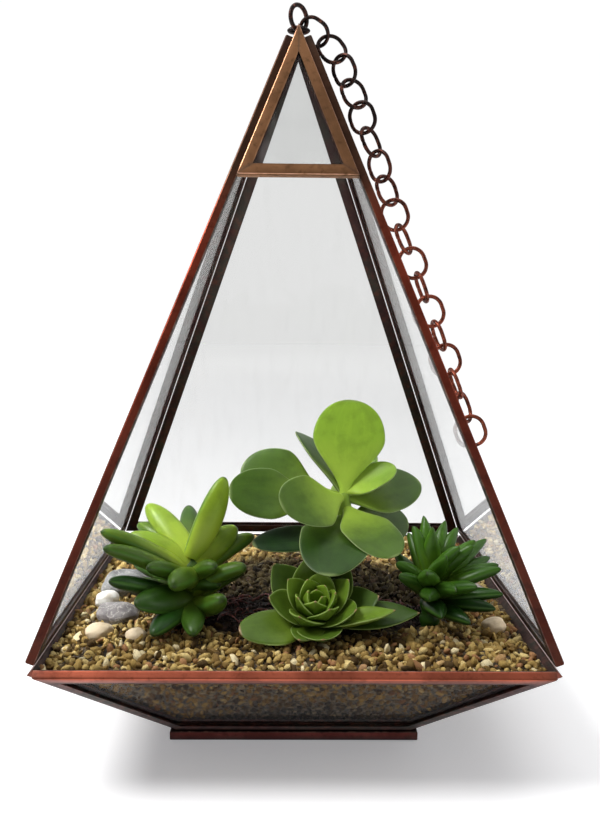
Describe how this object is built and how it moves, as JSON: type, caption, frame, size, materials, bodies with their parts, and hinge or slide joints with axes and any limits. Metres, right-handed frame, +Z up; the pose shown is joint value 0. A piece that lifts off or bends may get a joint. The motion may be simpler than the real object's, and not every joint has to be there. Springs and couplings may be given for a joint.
{
  "type": "glass plant terrarium",
  "caption": "Copper-framed glass pyramid terrarium with an open front, planted with succulents in gravel, with a hanging ring and chain.",
  "frame": {"origin": "middle of the foot's underside, on the surface that it stands on", "axes": "+Z up through the tip; the open front faces -Y; +X to the viewer's right, where the chain hangs"},
  "size_m": [0.1668, 0.1664, 0.2617],
  "materials": {
    "copper_came": "copper-toned antique patina, satin, darker at the edges",
    "dark_copper": "blackened copper wire with reddish rubbed spots",
    "clear_glass": "clear polished sheet glass",
    "gravel": "loose tan and olive grit, matte",
    "soil": "dark damp crumbly soil",
    "grey_stone": "matte grey stone with purple tints",
    "pale_stone": "smooth cream pebble",
    "finger_leaf": "satin succulent leaf, lime at the root, dark at the tip",
    "jade_leaf": "satin fleshy leaf with a pale edge",
    "spike_leaf": "satin narrow leaf, mid green",
    "rosette_leaf": "satin leaf with pale pinkish edge"
  },
  "bodies": {
    "root": {"came_right": "copper_came", "pane_right": "clear_glass", "came_back": "copper_came", "pane_back": "clear_glass", "came_left": "copper_came", "pane_left": "clear_glass", "came_cap_front": "copper_came", "pane_cap_front": "clear_glass", "came_base_front": "copper_came", "pane_base_front": "clear_glass", "came_base_right": "copper_came", "pane_base_right": "clear_glass", "came_base_back": "copper_came", "pane_base_back": "clear_glass", "came_base_left": "copper_came", "pane_base_left": "clear_glass", "came_foot": "copper_came", "pane_foot": "clear_glass", "hanging_ring": "dark_copper", "chain_link_01": "dark_copper", "chain_link_02": "dark_copper", "chain_link_03": "dark_copper", "chain_link_04": "dark_copper", "chain_link_05": "dark_copper", "chain_link_06": "dark_copper", "chain_link_07": "dark_copper", "chain_link_08": "dark_copper", "chain_link_09": "dark_copper", "chain_link_10": "dark_copper", "chain_link_11": "dark_copper", "chain_link_12": "dark_copper", "chain_link_13": "dark_copper", "chain_link_14": "dark_copper", "chain_link_15": "dark_copper", "chain_link_16": "dark_copper", "chain_link_17": "dark_copper", "chain_link_18": "dark_copper", "gravel": "gravel", "soil": "soil", "stone_slate": "grey_stone", "stone_flat": "grey_stone", "stone_purple": "grey_stone", "pebble_white": "pale_stone", "pebble_cream_a": "pale_stone", "pebble_cream_b": "pale_stone", "pebble_cream_c": "pale_stone", "pebble_pink": "pale_stone", "pebble_tan": "pale_stone", "finger_succulent": "finger_leaf", "jade_succulent": "jade_leaf", "spike_succulent": "spike_leaf", "rosette_succulent": "rosette_leaf"}
  },
  "joints": []
}
